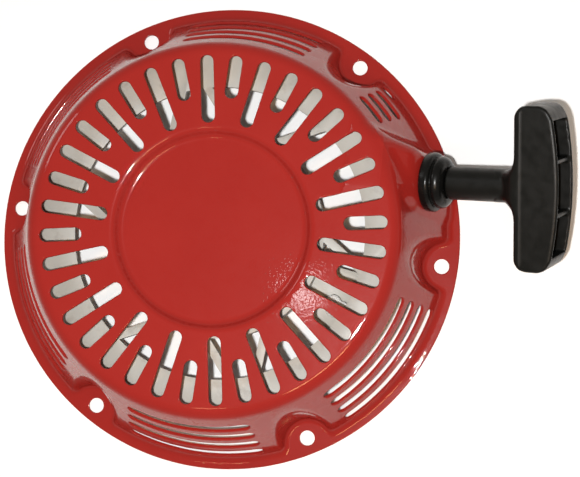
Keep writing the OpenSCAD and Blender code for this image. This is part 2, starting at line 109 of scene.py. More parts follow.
BAR_FROM, BAR_APEX, BAR_HALF, BAR_HALF_H = 45.9, 66.4, 37.7, 12.2
BAR_BULGE, BAR_ROUND, BAR_WALL, BAR_FLOOR = 170.0, 6.0, 2.4, 49.4
CELL_END, RIB_Y, RIB_T = 31.0, 12.3, 1.8
RIB_TOP = 64.4           # 3 mm nearer the grip's rim than in the CAD part
WASHER_T = 1.5
REEL_WALL_R = 75.9       # where the rope's tail ends, in the reel's wall
PAWL_PIVOT_R = 24.0


# ---- Camera: high over the cover's face, a little off its axis ----
CAMERA_TURN, CAMERA_PITCH, CAMERA_YAW = (math.radians(angle) for angle in (8.28, -4.09, -6.02))
CAMERA_AT = (30.8, -0.7, 678)    # in the camera's own axes, from the row frame's origin
CAMERA_LENS = 84.1


def add_camera():
    turn = Matrix.Rotation(CAMERA_TURN, 3, "Z")
    tilt = Matrix.Rotation(CAMERA_PITCH, 3, "X") @ Matrix.Rotation(CAMERA_YAW, 3, "Y")
    facing = turn @ tilt.transposed()
    data = bpy.data.cameras.new("camera")
    data.lens = CAMERA_LENS
    data.clip_start = 0.01
    camera = bpy.data.objects.new("camera", data)
    bpy.context.scene.collection.objects.link(camera)
    place = facing @ Vector(CAMERA_AT) * MM
    camera.matrix_world = Matrix.Translation(place) @ facing.to_4x4()
    bpy.context.scene.camera = camera
    return camera


LAMP_AIM = Vector((0, 0, 0.03))
WALL_TOP, CEILING = 0.06, 0.45   # heights between which the world's pale walls fade into its ceiling
WORLD_TINT = (1.0, 0.93, 0.84, 1)


def add_light(name, camera, along, size, power, colour=(1, 1, 1)):
    """A soft lamp at a point given in the camera's axes, in metres, aimed at the object."""
    data = bpy.data.lights.new(name, "AREA")
    data.shape = "RECTANGLE"
    data.size, data.size_y = size
    data.energy = power
    data.color = colour
    lamp = bpy.data.objects.new(name, data)
    bpy.context.scene.collection.objects.link(lamp)
    turn = camera.matrix_world.to_3x3()
    place = camera.matrix_world.translation + turn @ Vector(along)
    facing = (place - LAMP_AIM).to_track_quat("Z", "Y").to_matrix().to_4x4()
    lamp.matrix_world = Matrix.Translation(place) @ facing


def add_world(overhead, horizon):
    """A plain studio: dim overhead, and pale walls round about."""
    world = bpy.data.worlds.new("studio")
    bpy.context.scene.world = world
    world.use_nodes = True
    tree = world.node_tree
    height = tree.nodes.new("ShaderNodeSeparateXYZ")
    tree.links.new(tree.nodes.new("ShaderNodeTexCoord").outputs["Generated"], height.inputs[0])
    shade = tree.nodes.new("ShaderNodeMapRange")
    tree.links.new(height.outputs["Z"], shade.inputs["Value"])
    fade = {"From Min": WALL_TOP, "From Max": CEILING, "To Min": horizon, "To Max": overhead}
    for key, value in fade.items():
        shade.inputs[key].default_value = value
    tree.links.new(shade.outputs["Result"], tree.nodes["Background"].inputs["Strength"])
    tree.nodes["Background"].inputs["Color"].default_value = WORLD_TINT


# ---- Materials ----
class Graph:
    """A material's node tree, with short calls to add nodes to it."""

    def __init__(self, name, **sockets):
        self.material = bpy.data.materials.new(name)
        self.material.use_nodes = True
        self.tree = self.material.node_tree
        self.shader = self.tree.nodes["Principled BSDF"]
        self.set(self.shader, {k.replace("_", " "): v for k, v in sockets.items()})

    def set(self, node, inputs):
        for key, value in inputs.items():
            socket = node.inputs[key]
            if isinstance(value, bpy.types.NodeSocket):
                self.tree.links.new(value, socket)
            else:
                socket.default_value = value
        return node

    def add(self, kind, inputs=None, **settings):
        node = self.tree.nodes.new("ShaderNode" + kind)
        for key, value in settings.items():
            setattr(node, key, value)
        return self.set(node, inputs or {})

    def place(self):
        return self.add("TexCoord").outputs["Object"]

    def noise(self, vector, scale, detail=3.0, roughness=0.5, distortion=0.0):
        return self.add("TexNoise", {"Vector": vector, "Scale": scale, "Detail": detail,
                                     "Roughness": roughness, "Distortion": distortion}).outputs["Fac"]

    def math(self, operation, a, b=0.0):
        return self.add("Math", {0: a, 1: b}, operation=operation).outputs[0]

    def times(self, a, b):
        return self.math("MULTIPLY", a, b)

    def dot(self, vector, axis):
        return self.add("VectorMath", {0: vector, 1: tuple(axis)}, operation="DOT_PRODUCT").outputs["Value"]

    def span(self, value, low, high, out_low=0.0, out_high=1.0):
        return self.add("MapRange", {"Value": value, "From Min": low, "From Max": high,
                                     "To Min": out_low, "To Max": out_high}).outputs["Result"]

    def mix(self, factor, a, b):
        node = self.add("Mix", data_type="RGBA")
        self.set(node, {0: factor})
        for index, value in ((6, a), (7, b)):
            if isinstance(value, bpy.types.NodeSocket):
                self.tree.links.new(value, node.inputs[index])
            else:
                node.inputs[index].default_value = (*value, 1)
        return node.outputs[2]

    def bump(self, height, distance, strength):
        inputs = {"Height": height, "Distance": distance, "Strength": strength}
        return self.add("Bump", inputs).outputs["Normal"]

    def wire(self, **outputs):
        self.set(self.shader, {k.replace("_", " "): v for k, v in outputs.items()})
        return self.material


def red_paint():
    g = Graph("red_paint", Coat_Weight=0.52, Coat_Roughness=0.025, Coat_IOR=1.5, Specular_IOR_Level=0.02)
    at = g.place()
    drift = g.noise(at, 28, 3)
    peel = g.noise(at, 900, 2, 0.45)
    fleck = g.span(g.noise(at, 2600, 2), 0.66, 0.8)
    colour = g.mix(g.span(drift, 0.3, 0.7), (0.262, 0.0145, 0.011), (0.277, 0.0165, 0.0125))
    colour = g.mix(g.times(fleck, 0.12), colour, (0.45, 0.05, 0.04))
    rough = g.span(g.noise(at, 160, 4), 0.3, 0.75, 0.24, 0.36)
    normal = g.bump(peel, 0.00006, 0.5)
    return g.wire(Base_Color=colour, Roughness=rough, Normal=normal, Coat_Normal=g.bump(peel, 0.00006, 0.35))


def moulded_plastic(name, dark, light, rough, grain, scuffs):
    """Moulded plastic: fine tool grain, slow flow marks and a few pale scuffs."""
    g = Graph(name, Specular_IOR_Level=0.2)
    at = g.place()
    flow = g.noise(at, 60, 3, 0.6, 0.8)
    marks = g.span(g.noise(at, 700, 5, 0.7), 0.62, 0.8)
    colour = g.mix(flow, dark, light)
    colour = g.mix(g.times(marks, scuffs), colour, tuple(min(1, 3 * c + 0.03) for c in light))
    roughness = g.span(g.noise(at, 240, 4), 0.3, 0.7, rough - 0.07, rough + 0.09)
    normal = g.bump(g.noise(at, 3200, 2), 0.00003, grain)
    return g.wire(Base_Color=colour, Roughness=roughness, Normal=normal)


def nylon():
    g = Graph("reel_nylon", Subsurface_Weight=0.12, Subsurface_Scale=0.002, Specular_IOR_Level=0.45)
    g.set(g.shader, {"Subsurface Radius": (1.0, 0.8, 0.55)})
    at = g.place()
    flow = g.noise(at, 35, 4, 0.6, 1.2)
    dirt = g.span(g.noise(at, 130, 6, 0.65), 0.55, 0.8)
    colour = g.mix(flow, (0.37, 0.345, 0.295), (0.46, 0.44, 0.395))
    colour = g.mix(g.times(dirt, 0.5), colour, (0.16, 0.115, 0.075))
    roughness = g.span(flow, 0.3, 0.7, 0.38, 0.55)
    normal = g.bump(g.noise(at, 1500, 3), 0.00004, 0.5)
    return g.wire(Base_Color=colour, Roughness=roughness, Normal=normal)


def metal(name, tint, rough, streak=(40, 40, 900), tarnish=0.35, tarnish_tint=(0.2, 0.16, 0.12)):
    """Bare or plated metal with fine machining lines and patches of tarnish."""
    g = Graph(name, Metallic=1.0)
    at = g.place()
    lines = g.noise(g.add("Mapping", {"Vector": at, "Scale": streak}).outputs["Vector"], 1.0, 4, 0.6)
    patch = g.span(g.noise(at, 170, 5, 0.65), 0.52, 0.78)
    colour = g.mix(lines, tuple(0.82 * c for c in tint), tint)
    colour = g.mix(g.times(patch, tarnish), colour, tarnish_tint)
    roughness = g.math("ADD", g.span(lines, 0.25, 0.75, rough - 0.06, rough + 0.1), g.times(patch, 0.15))
    normal = g.bump(lines, 0.00002, 0.4)
    return g.wire(Base_Color=colour, Roughness=roughness, Normal=normal)


PLAIT_LENGTH = 0.012     # metres of rope in one turn of a strand
PLAIT_STRANDS = 4        # that turn each way


def braid(g, along, turn):
    """Height of a plaited cover and where its strands cross, from two opposite spirals."""
    waves = 2 * PLAIT_STRANDS * math.pi
    left = g.math("SINE", g.times(g.math("ADD", turn, along), waves))
    right = g.math("SINE", g.times(g.math("SUBTRACT", turn, along), waves))
    return g.math("MAXIMUM", g.math("ABSOLUTE", left), g.math("ABSOLUTE", right)), g.times(left, right)


def rope_cord(name, on_pull_line):
    """White braided cord. Its plait follows the cord's own length, or the pull line where it pays out."""
    g = Graph(name, Sheen_Weight=0.3, Specular_IOR_Level=0.25)
    at = g.place()
    if on_pull_line:
        moved = g.add("VectorMath", {0: at, 1: tuple(-PULL_START * MM)}, operation="ADD").outputs["Vector"]
        far = g.dot(moved, PULL_DIR)
        turn = g.math("DIVIDE", g.math("ARCTAN2", g.dot(moved, PULL_UP), g.dot(moved, SIDE)), 2 * math.pi)
    else:
        axes = g.add("SeparateXYZ", {"Vector": g.add("UVMap").outputs["UV"]})
        far, turn = axes.outputs["X"], axes.outputs["Y"]
    height, crossing = braid(g, g.math("DIVIDE", far, PLAIT_LENGTH), turn)
    fibre = g.noise(at, 4200, 3, 0.6)
    grime = g.span(g.noise(at, 90, 4), 0.45, 0.8)
    # Painted shade: the cord is darker down in the grooves between its strands and palest on the strands'
    # tops.
    colour = g.mix(g.span(height, 0.35, 0.95), (0.6, 0.56, 0.48), (0.95, 0.94, 0.9))
    colour = g.mix(g.times(grime, 0.35), colour, (0.45, 0.38, 0.29))
    relief = g.math("ADD", height, g.math("ADD", g.times(crossing, 0.25), g.times(fibre, 0.3)))
    return g.wire(Base_Color=colour, Roughness=0.85, Normal=g.bump(relief, 0.0003, 0.8))


def studio_floor():
    g = Graph("studio_floor", Specular_IOR_Level=0.2)
    at = g.place()
    colour = g.mix(g.noise(at, 6, 3), (0.86, 0.86, 0.855), (0.9, 0.9, 0.895))
    return g.wire(Base_Color=colour, Roughness=g.span(g.noise(at, 220, 3), 0.3, 0.7, 0.7, 0.85),
                  Normal=g.bump(g.noise(at, 500, 3), 0.00005, 0.3))


# ---- Mesh helpers ----
def new_object(name, points, faces, material, sharp_angle=None):
    """A smooth-shaded mesh object from points in millimetres."""
    mesh = bpy.data.meshes.new(name)
    mesh.from_pydata((np.asarray(points) * MM).tolist(), [], [tuple(map(int, f)) for f in faces])
    mesh.update()
    mesh.materials.append(material)
    mesh.shade_smooth()
    if sharp_angle is not None:
        mesh.set_sharp_from_angle(angle=math.radians(sharp_angle))
    piece = bpy.data.objects.new(name, mesh)
    bpy.context.scene.collection.objects.link(piece)
    return piece


def settle(piece, body, slot, *nodes):
    """The piece stands for these CAD nodes and rides on this body. The slot is not used."""
    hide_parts(*nodes)
    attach(piece, body)
    return piece


def face_out(mesh):
    shell = bmesh.new()
    shell.from_mesh(mesh)
    bmesh.ops.recalc_face_normals(shell, faces=shell.faces)
    shell.to_mesh(mesh)
    shell.free()


def round_max(a, b, radius):
    """The larger of two distances, with the edge where they cross rounded off."""
    both = np.hypot(np.maximum(a + radius, 0), np.maximum(b + radius, 0)) - radius
    return np.where((a > -radius) & (b > -radius), both, np.maximum(a, b))


def round_min(a, b, radius):
    return -round_max(-a, -b, radius)


def along_pull(x, y, z):
    """Distance out along the pull line, and across it sideways and up."""
    offset = [x - PULL_START[0], y - PULL_START[1], z - PULL_START[2]]
    return [sum(d * axis[i] for i, d in enumerate(offset)) for axis in (PULL_DIR, SIDE, PULL_UP)]


def from_pull(points, twist=0.0):
    """Points given as distance along the pull line, sideways and up, moved into the row frame."""
    s, y, z = np.moveaxis(np.asarray(points, float), -1, 0)
    y, z = y * math.cos(twist) - z * math.sin(twist), y * math.sin(twist) + z * math.cos(twist)
    return PULL_START + s[..., None] * PULL_DIR + y[..., None] * SIDE + z[..., None] * PULL_UP


def true_normals(mesh, normals, known, sharp):
    """Smooth shading that uses a surface's own normals at the points where they are known."""
    mesh.shade_smooth()
    mesh.set_sharp_from_angle(angle=sharp)
    own = np.empty(len(mesh.loops) * 3, np.float32)
    mesh.corner_normals.foreach_get("vector", own)
    own = own.reshape(-1, 3)
    at = np.empty(len(mesh.loops), np.int32)
    mesh.loops.foreach_get("vertex_index", at)
    near = (own * normals[at]).sum(-1) > math.cos(sharp)
    own[near & known[at]] = normals[at][near & known[at]]
    mesh.normals_split_custom_set(own.tolist())


# ---- Case: one pressed sheet ----
CREST_ROUND = 2.4
FOOT_ROUND = 2.5
RIM = 0.45               # rounding of every cut edge under its paint
CREST_R = CROWN_R - SHOULDER * math.tan(math.pi / 4 - WALL_TILT / 2)
DIP_TURN = math.acos(1 - DISC_DEPTH / (2 * DIP_ROUND))
DISC_R = DISC_EDGE_R - 2 * DIP_ROUND * math.sin(DIP_TURN)
PLAN_STRETCH = 2.5       # how much the wall is spread out in the plane that the sheet is meshed in
OUTLINE_STEP = 2.4       # spacing of the points along an opening's straight sides
# The net's spacings, and how many degrees the skin has to bend for each of them.
NET_STEPS = ((4.8, 0), (2.4, 5), (1.2, 6), (0.6, 12))
NET_CLEAR = 0.55         # room between the net's points and the cut edges
OPENING_REACH = 45.0     # how far round an opening's middle its inside is looked for


def dome_height(r):
    """Height of the cover's outside at a radius, before its pockets and rope outlet."""
    disc_z = CASE_H - DISC_DEPTH
    low = disc_z + DIP_ROUND - np.sqrt(np.maximum(DIP_ROUND ** 2 - (r - DISC_R) ** 2, 0))
    high = CASE_H - DIP_ROUND + np.sqrt(np.maximum(DIP_ROUND ** 2 - (DISC_EDGE_R - r) ** 2, 0))
    shoulder = CASE_H - SHOULDER + np.sqrt(np.maximum(SHOULDER ** 2 - (r - CREST_R) ** 2, 0))
    wall = SHEET + (FOOT_R - r) / WALL_SLOPE
    return np.select([r < DISC_R, r < (DISC_R + DISC_EDGE_R) / 2, r < DISC_EDGE_R, r < CREST_R,
                      r < CREST_R + SHOULDER * math.cos(WALL_TILT)],
                     [disc_z, low, high, CASE_H, shoulder], wall)


def case_field(x, y, z):
    """Distance outside the case's outer skin, below zero inside it."""
    r, az = np.hypot(x, y), np.arctan2(y, x)
    slope = (dome_height(r + 0.05) - dome_height(r - 0.05)) / 0.1
    dome = (z - dome_height(r)) / np.hypot(1, slope)
    out, side, _ = along_pull(x, y, z)
    rise = CASE_H - NOSE_UNDER - PULL_START[2] - NOSE_FACE
    run = (x - PULL_START[0]) * LEVEL[0] + (y - PULL_START[1]) * LEVEL[1]
    ramp = (run + NOSE_FACE * math.tan(PULL_ANGLE)) * rise + (z - PULL_START[2] - NOSE_FACE) * NOSE_RAMP
    ramp = np.maximum(ramp / math.hypot(NOSE_RAMP, rise), z - CASE_H + NOSE_UNDER)
    draft = NOSE_DRAFT * (z - PULL_START[2])
    flare = NOSE_FLARE * np.maximum(NOSE_FLARE_AT - run, 0)
    flank = np.maximum(side - NOSE_HALF - flare + draft, -side - NOSE_HALF + draft)
    nose = np.maximum(round_max(round_max(out, ramp, 4), flank, 5), NOSE_ROOT_X - x)
    body = round_min(dome, nose, 4)
    sector = 2 * math.pi / BOLT_COUNT
    fold = az - sector * np.round(az / sector)
    reach = np.hypot(r * np.cos(fold) - POCKET_AXIS_R, r * np.sin(fold))
    pocket = (POCKET_R + POCKET_TAPER * (z - SHEET) - reach) / math.hypot(1, POCKET_TAPER)
    body = round_max(body, pocket, CREST_ROUND)
    return round_min(body, z - SHEET, FOOT_ROUND)


def surface_normal(field, x, y, z, step=0.02):
    grad = np.stack([field(x + step, y, z) - field(x - step, y, z),
                     field(x, y + step, z) - field(x, y - step, z),
                     field(x, y, z + step) - field(x, y, z - step)], -1)
    return grad / np.linalg.norm(grad, axis=-1, keepdims=True)


def case_skin(x, y):
    """Points on the outer skin over plan points, and their normals."""
    low, high = np.full(x.shape, SHEET - 0.5), np.full(x.shape, CASE_H + 0.5)
    for _ in range(26):
        middle = (low + high) / 2
        above = case_field(x, y, middle) > 0
        high, low = np.where(above, middle, high), np.where(above, low, middle)
    z = (low + high) / 2
    return np.stack([x, y, z], -1), surface_normal(case_field, x, y, z)


PLAN_KNOTS = np.array([0, CREST_R + 1, FOOT_R, FLANGE_R + 5])
PLANE_KNOTS = np.cumsum(np.diff(PLAN_KNOTS, prepend=0) * np.array([0, 1, PLAN_STRETCH, 1]))


def to_plane(xy):
    """Plan points moved into the plane where the steep wall is spread out."""
    r = np.linalg.norm(xy, axis=-1, keepdims=True)
    return xy * np.interp(r, PLAN_KNOTS, PLANE_KNOTS) / np.maximum(r, 1e-9)


def from_plane(uv):
    s = np.linalg.norm(uv, axis=-1, keepdims=True)
    return uv * np.interp(s, PLANE_KNOTS, PLAN_KNOTS) / np.maximum(s, 1e-9)


def polar(r, az):
    return np.stack([r * np.cos(az), r * np.sin(az)], -1)


def stadium(length, width, grow):
    """Outline of a slot with round ends, centred on the origin and lying along its first axis."""
    radius = width / 2 + grow
    half = length / 2 - width / 2
    bend = np.linspace(-math.pi / 2, math.pi / 2, 11)
    cap = np.stack([half + radius * np.cos(bend), radius * np.sin(bend)], -1)
    sides = max(1, int(2 * half / OUTLINE_STEP))
    run = np.linspace(half, -half, sides + 1)[1:-1]
    top = np.stack([run, np.full(run.shape, radius)], -1)
    return np.concatenate([cap, top, -cap, -top])


def case_outlines(grow):
    """Every cut edge of the sheet, in plan, drawn `grow` outside its opening."""
    loops = []
    for i in range(SLOT_COUNT):
        az = 2 * math.pi * i / SLOT_COUNT
        inner = SLOT_IN_R[i % 2]
        shape = stadium(SLOT_OUT_R - inner, SLOT_W, grow)
        shape[:, 0] += (SLOT_OUT_R + inner) / 2
        turn = np.array([[math.cos(az), math.sin(az)], [-math.sin(az), math.cos(az)]])
        loops.append(shape @ turn)
    full = [((k + 0.5) * 360 / BOLT_COUNT, VENT_ANGLE, row)
            for k in range(1, BOLT_COUNT) for row in range(VENT_ROWS)]
    for centre, span, row in (*full, *SHORT_VENTS):
        z = VENT_Z + row * VENT_PITCH
        middle = FOOT_R - (z - SHEET) * WALL_SLOPE
        shape = stadium(math.radians(span) * middle, VENT_W, grow)
        r = middle - shape[:, 1] * math.sin(WALL_TILT)
        loops.append(polar(r, math.radians(centre) - shape[:, 0] / middle))
    turn = np.linspace(0, 2 * math.pi, 25)[:-1]
    for i in range(BOLT_COUNT):
        az = 2 * math.pi * i / BOLT_COUNT
        loops.append(polar(BOLT_R, az) + polar(BOLT_HOLE_R + grow, turn))
    bore = (BUSH_R + grow) * np.stack([np.cos(turn), np.sin(turn)], -1)
    loops.append(PULL_START[:2] + bore @ np.stack([SIDE[:2], PULL_UP[:2]]))
    loops.append(polar(FLANGE_R - grow, np.linspace(0, 2 * math.pi, 241)[:-1]))
    return loops


def inside_loop(points, loop):
    """Which points lie inside a closed outline."""
    x, y = points[:, 0:1], points[:, 1:2]
    x0, y0 = loop[:, 0], loop[:, 1]
    x1, y1 = np.roll(x0, -1), np.roll(y0, -1)
    with np.errstate(divide="ignore", invalid="ignore"):
        crosses = ((y0 > y) != (y1 > y)) & (x < (x1 - x0) * (y - y0) / (y1 - y0) + x0)
    return crosses.sum(1) % 2 == 1


def bend_points(reach):
    """A net of points in the spread plane, finer where the skin bends."""
    kept = []
    for step, limit in NET_STEPS:
        n = int(reach / step) + 2
        i, j = np.meshgrid(np.arange(-2 * n, 2 * n + 1), np.arange(-2 * n, 2 * n + 1), indexing="ij")
        new = (i % 2 == 1) | (j % 2 == 1) | (limit == 0)
        uv = np.stack([(i + j / 2) * step, j * step * math.sqrt(3) / 2], -1)[new]
        uv = uv[np.linalg.norm(uv, axis=-1) < reach]
        if limit:
            turns = []
            for shift in ((step, 0), (0, step)):
                a = case_skin(*from_plane(uv + np.array(shift)).T)[1]
                b = case_skin(*from_plane(uv - np.array(shift)).T)[1]
                turns.append((a * b).sum(-1))
            uv = uv[np.min(turns, axis=0) < math.cos(math.radians(limit))]
        kept.append(uv)
    return np.concatenate(kept)


def case_sheet(material):
    """The pressed cover: its skin is cut and triangulated in a plane, lifted and given its thickness."""
    rings = [(grow, RIM - math.sqrt(max(RIM ** 2 - (RIM - grow) ** 2, 0))) for grow in (0.0, 0.13, RIM)]
    plane, sink, edges, cut_edges = [], [], [], []
    count = 0
    for k, (grow, depth) in enumerate(rings):
        for loop in case_outlines(grow):
            flat = to_plane(loop)
            ids = np.arange(count, count + len(flat))
            pairs = list(zip(ids.tolist(), np.roll(ids, -1).tolist()))
            edges += pairs
            if k == 0:
                cut_edges += pairs
            plane.append(flat)
            sink.append(np.full(len(flat), depth))
            count += len(flat)
    holes = [to_plane(loop) for loop in case_outlines(RIM)]
    rims = np.concatenate(plane)
    tree = KDTree(len(rims))
    for i, p in enumerate(rims):
        tree.insert((p[0], p[1], 0), i)
    tree.balance()
    net = bend_points(np.linalg.norm(holes[-1][0]))
    keep = np.array([tree.find((p[0], p[1], 0))[2] > NET_CLEAR for p in net])
    for hole in holes[:-1]:
        near = np.linalg.norm(net - hole.mean(0), axis=-1) < OPENING_REACH
        index = np.flatnonzero(near & keep)
        keep[index[inside_loop(net[index], hole)]] = False
    plane.append(net[keep])
    sink.append(np.zeros(int(keep.sum())))
    plane, sink = np.concatenate(plane), np.concatenate(sink)
    _, _, faces, origin, _, _ = delaunay_2d_cdt([Vector(p) for p in plane.tolist()], edges, [], 0, 1e-9)
    back = [group[0] for group in origin]
    faces = np.array([[back[v] for v in f] for f in faces if len(f) == 3])
    mid = plane[faces].mean(1)
    solid = np.ones(len(faces), bool)
    for hole in [to_plane(loop) for loop in case_outlines(0.0)][:-1]:
        index = np.flatnonzero(np.linalg.norm(mid - hole.mean(0), axis=-1) < OPENING_REACH)
        solid[index[inside_loop(mid[index], hole)]] = False
    faces = faces[solid]
    skin, normal = case_skin(*from_plane(plane).T)
    outer = skin - normal * sink[:, None]
    inner = skin - normal * SHEET
    n = len(outer)
    walls = [(a, b, b + n, a + n) for a, b in cut_edges]
    piece = new_object("case_sheet", np.concatenate([outer, inner]),
                       [tuple(f) for f in faces] + [tuple(f + n) for f in faces[:, ::-1]] + walls, material)
    face_out(piece.data)
    true_normals(piece.data, np.concatenate([normal, -normal]),
                 np.concatenate([sink == 0, np.ones(n, bool)]), math.radians(50))
    return piece


# ---- Grip: one moulding with three open cells ----
FACET_SLOPE = (0.5, 0.866)       # the facet at each end of the bar leans 30 degrees
FACET_PAST, FACET_IN = 2.0, 1.6  # a point on it: past the cells' ends, and under the ribs' tops
WEB_RUN, WEB_H = 9.5, 6.0        # the web rises over this length, from this half height, to the bar's
WEB_BACK = 12.0                  # how far from the bar the web may reach
WEB_SINK = 0.6                   # how far its sides lie inside the stem's
WEB_FILLET = 8.5
TUCK = 2.0                       # how far the stem and its web run into the bar


def grip_field(s, y, z):
    """Distance outside the grip, in its own axes: out along the pull line, along the bar, across it."""
    plan = round_max(BAR_FROM - s, np.abs(y) - BAR_HALF, BAR_ROUND)
    plan = round_max(plan, np.hypot(s - BAR_APEX + BAR_BULGE, y) - BAR_BULGE, BAR_ROUND)
    facet = (np.abs(y) - CELL_END - FACET_PAST) * FACET_SLOPE[0] + (s - RIB_TOP + FACET_IN) * FACET_SLOPE[1]
    bar = round_max(round_max(plan, facet, 0.8), np.abs(z) - BAR_HALF_H, 1.8)
    stem = round_max(np.hypot(y, z) - STEM_R, STEM_FROM - s, 1.0)
    stem = np.maximum(stem, s - BAR_FROM - TUCK)
    rise = np.clip((s - BAR_FROM + WEB_RUN) / WEB_RUN, 0, 1)
    web_h = WEB_H + (BAR_HALF_H - WEB_H) * rise * rise * (3 - 2 * rise)
    web = round_min(plan, np.maximum(np.abs(y) - STEM_R + WEB_SINK, s - BAR_FROM - TUCK), WEB_FILLET)
    web = round_max(np.maximum(web, BAR_FROM - WEB_BACK - s), np.abs(z) - web_h, 4.0)
    web = np.maximum(web, s - BAR_FROM - TUCK)
    body = round_max(round_min(bar, round_min(stem, web, 0.8), 2.0), np.abs(z) - BAR_HALF_H, 1.2)
    across = np.abs(z) - BAR_HALF_H + BAR_WALL
    cells = round_max(np.abs(y) - CELL_END, RIB_TOP - s, 0.6)
    for low, high in ((-CELL_END, -RIB_Y - RIB_T / 2), (-RIB_Y + RIB_T / 2, RIB_Y - RIB_T / 2),
                      (RIB_Y + RIB_T / 2, CELL_END)):
        cell = round_max(np.abs(y - (low + high) / 2) - (high - low) / 2, BAR_FLOOR - s, 1.5)
        cells = round_min(cells, cell, 0.5)
    cells = round_max(cells, across, 1.5)
    return round_max(round_max(body, -cells, 0.9), STEM_BORE - np.hypot(y, z), 0.5)


def surface_net(field, low, high, step):
    """Quads over the surface where a field is zero, with their points settled on it."""
    axes = [np.arange(a, b + step, step) for a, b in zip(low, high)]
    value = field(*np.meshgrid(*axes, indexing="ij"))
    inside = value < 0
    size = np.array(value.shape) - 1
    corners = [tuple(slice(d, d + n) for d, n in zip(shift, size)) for shift in np.ndindex(2, 2, 2)]
    filled = sum(inside[c].astype(int) for c in corners)
    active = (filled > 0) & (filled < 8)
    index = np.full(active.shape, -1)
    index[active] = np.arange(active.sum())
    points = np.array(low) + (np.argwhere(active) + 0.5) * step
    for _ in range(8):
        at = field(*points.T)
        grad = np.stack([field(*(points + shift).T) - at for shift in 0.01 * np.eye(3)], -1) / 0.01
        move = at[:, None] * grad / np.maximum((grad ** 2).sum(-1, keepdims=True), 0.2)
        points = points - 0.8 * np.clip(move, -step / 2, step / 2)
    quads = []
    for axis in range(3):
        u, v = (axis + 1) % 3, (axis + 2) % 3
        here, ahead = [slice(1, -1)] * 3, [slice(1, -1)] * 3
        here[axis], ahead[axis] = slice(0, -1), slice(1, None)
        near, far = inside[tuple(here)], inside[tuple(ahead)]
        for crossing, order in ((near & ~far, ((0, 0), (1, 0), (1, 1), (0, 1))),
                                (~near & far, ((0, 0), (0, 1), (1, 1), (1, 0)))):
            cell = np.argwhere(crossing)
            around = []
            for du, dv in order:
                c = cell.copy()
                c[:, u] += du
                c[:, v] += dv
                around.append(index[tuple(c.T)])
            quads.append(np.stack(around, -1))
    quads = np.concatenate(quads)
    return points, quads[(quads >= 0).all(1)]


def moulded_grip(material):
    low = (STEM_FROM - 1.0, -BAR_HALF - 1.2, -BAR_HALF_H - 1.1)
    high = (BAR_APEX + 1.0, BAR_HALF + 1.2, BAR_HALF_H + 1.1)
    points, quads = surface_net(grip_field, low, high, 0.7)
    piece = new_object("moulded_grip", from_pull(points, GRIP_TWIST), quads, material)
    lift = surface_normal(grip_field, *points.T)
    normals = from_pull(lift, GRIP_TWIST) - PULL_START
    true_normals(piece.data, normals, np.ones(len(points), bool), math.radians(35))
    return piece


# ---- Turned, coiled and plaited pieces ----
def soften(outline, radius, steps=3):
    """A closed outline with each corner rounded off."""
    outline = np.asarray(outline, float)
    rounded = []
    for i, corner in enumerate(outline):
        before, after = outline[i - 1] - corner, outline[(i + 1) % len(outline)] - corner
        reach = [min(radius, 0.45 * np.linalg.norm(side)) / np.linalg.norm(side) for side in (before, after)]
        a, b = corner + before * reach[0], corner + after * reach[1]
        for t in np.linspace(0, 1, steps + 1):
            rounded.append((1 - t) ** 2 * a + 2 * t * (1 - t) * corner + t * t * b)
    return np.array(rounded)


def turned(name, profile, material, sides=96):
    """A ring turned about the pull line from a profile of [radius, distance along the line]."""
    around = np.linspace(0, 2 * math.pi, sides, endpoint=False)[:, None]
    points = np.stack([np.broadcast_to(profile[:, 1], (sides, len(profile))),
                       profile[:, 0] * np.cos(around), profile[:, 0] * np.sin(around)], -1)
    m = len(profile)
    faces = [(i * m + j, i * m + (j + 1) % m, (i + 1) % sides * m + (j + 1) % m, (i + 1) % sides * m + j)
             for i in range(sides) for j in range(m)]
    piece = new_object(name, from_pull(points.reshape(-1, 3)), faces, material, sharp_angle=40)
    face_out(piece.data)
    return piece


def smooth_path(path, step):
    """Points at an even step along a curve through the path's points."""
    path = np.asarray(path, float)
    padded = np.concatenate([2 * path[:1] - path[1:2], path, 2 * path[-1:] - path[-2:-1]])
    fine = []
    for a, b, c, d in zip(padded, padded[1:], padded[2:], padded[3:]):
        t = np.linspace(0, 1, 17)[:-1, None]
        fine.append(b + t / 2 * (c - a + t * (2 * a - 5 * b + 4 * c - d + t * (3 * (b - c) + d - a))))
    fine = np.concatenate(fine + [path[-1:]])
    far = np.concatenate([[0], np.cumsum(np.linalg.norm(np.diff(fine, axis=0), axis=1))])
    at = np.linspace(0, far[-1], max(3, int(far[-1] / step) + 1))
    return np.stack([np.interp(at, far, fine[:, k]) for k in range(3)], -1)


RELIEF_TWIST = 2.1       # phase in radians that the plait's bumps gain in a millimetre
CAP_RINGS = ((0.72, 0.22), (0.3, 0.34))     # how a rounded end draws in from ring to ring, and moves out


